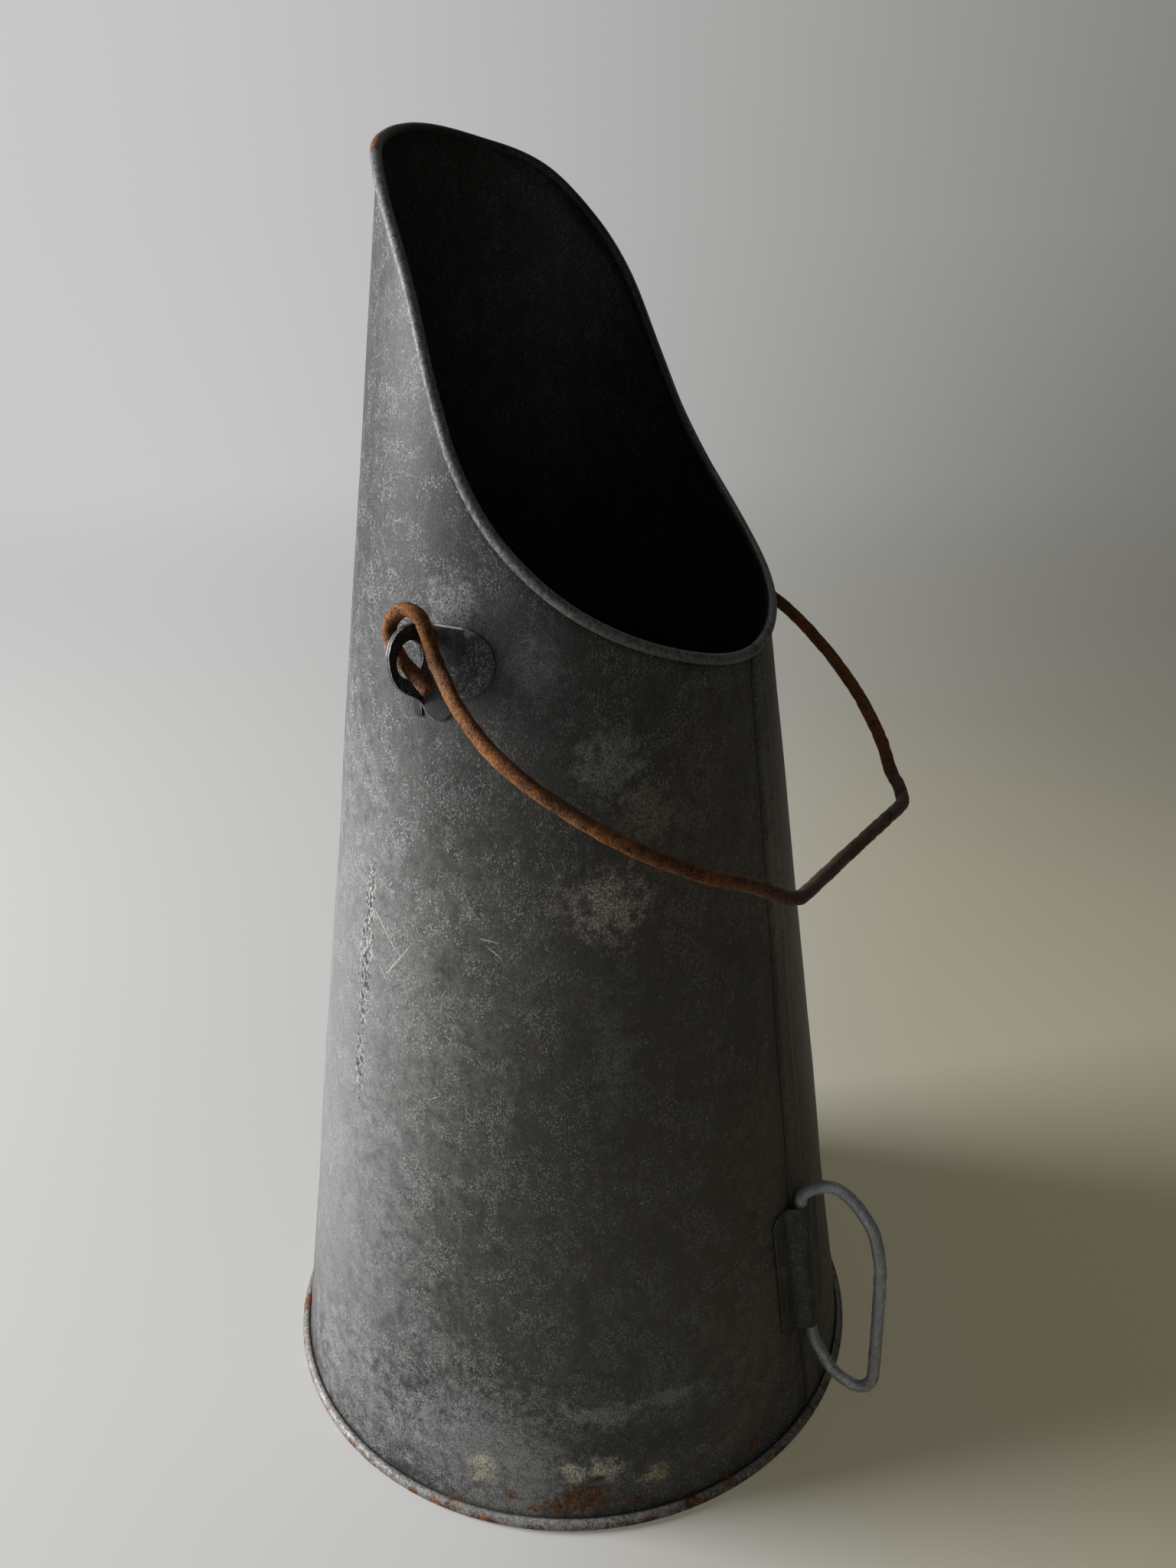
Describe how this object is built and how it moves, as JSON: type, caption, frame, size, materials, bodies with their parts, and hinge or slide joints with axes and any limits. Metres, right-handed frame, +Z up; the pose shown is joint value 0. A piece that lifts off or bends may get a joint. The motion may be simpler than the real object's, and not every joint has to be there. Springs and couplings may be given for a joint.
{
  "type": "coal scuttle",
  "caption": "Tall conical scuttle of weathered galvanised sheet with a slanted wired rim, a rusty wire bail held by folded ears, a recessed floor and a low wire tipping handle.",
  "frame": {"origin": "on the cone's axis, in the plane that the foot ring stands on", "axes": "+Z up, +X towards the low lip with the seam and the tipping handle, -X towards the tall spout, ears at -Y and +Y"},
  "size_m": [0.2969, 0.27, 0.5322],
  "materials": {
    "weathered_zinc": "dull dark grey galvanised sheet with pale bloom, streaks and small rust spots",
    "hidden_wire": "dull wire inside the rolled edges",
    "floor_zinc": "sooty galvanised sheet",
    "ear_zinc": "dull dark galvanised sheet",
    "rusty_wire": "orange-brown rust with dark pits",
    "handle_zinc": "mottled light grey zinc",
    "saddle_zinc": "dull brownish grey galvanised sheet"
  },
  "bodies": {
    "scuttle": {"body_shell": "weathered_zinc", "rim_wire": "hidden_wire", "foot_wire": "hidden_wire", "floor_pan": "floor_zinc", "right_ear": "ear_zinc", "left_ear": "ear_zinc", "tipping_handle": "handle_zinc", "handle_saddle": "saddle_zinc"},
    "bail": {"bail": "rusty_wire"}
  },
  "joints": [
    {"name": "bail_swing", "type": "hinge", "parent": "scuttle", "child": "bail", "pos_m": [0, 0, 0.37043], "axis": [0, -1, 0], "range_deg": [0, 134]}
  ]
}
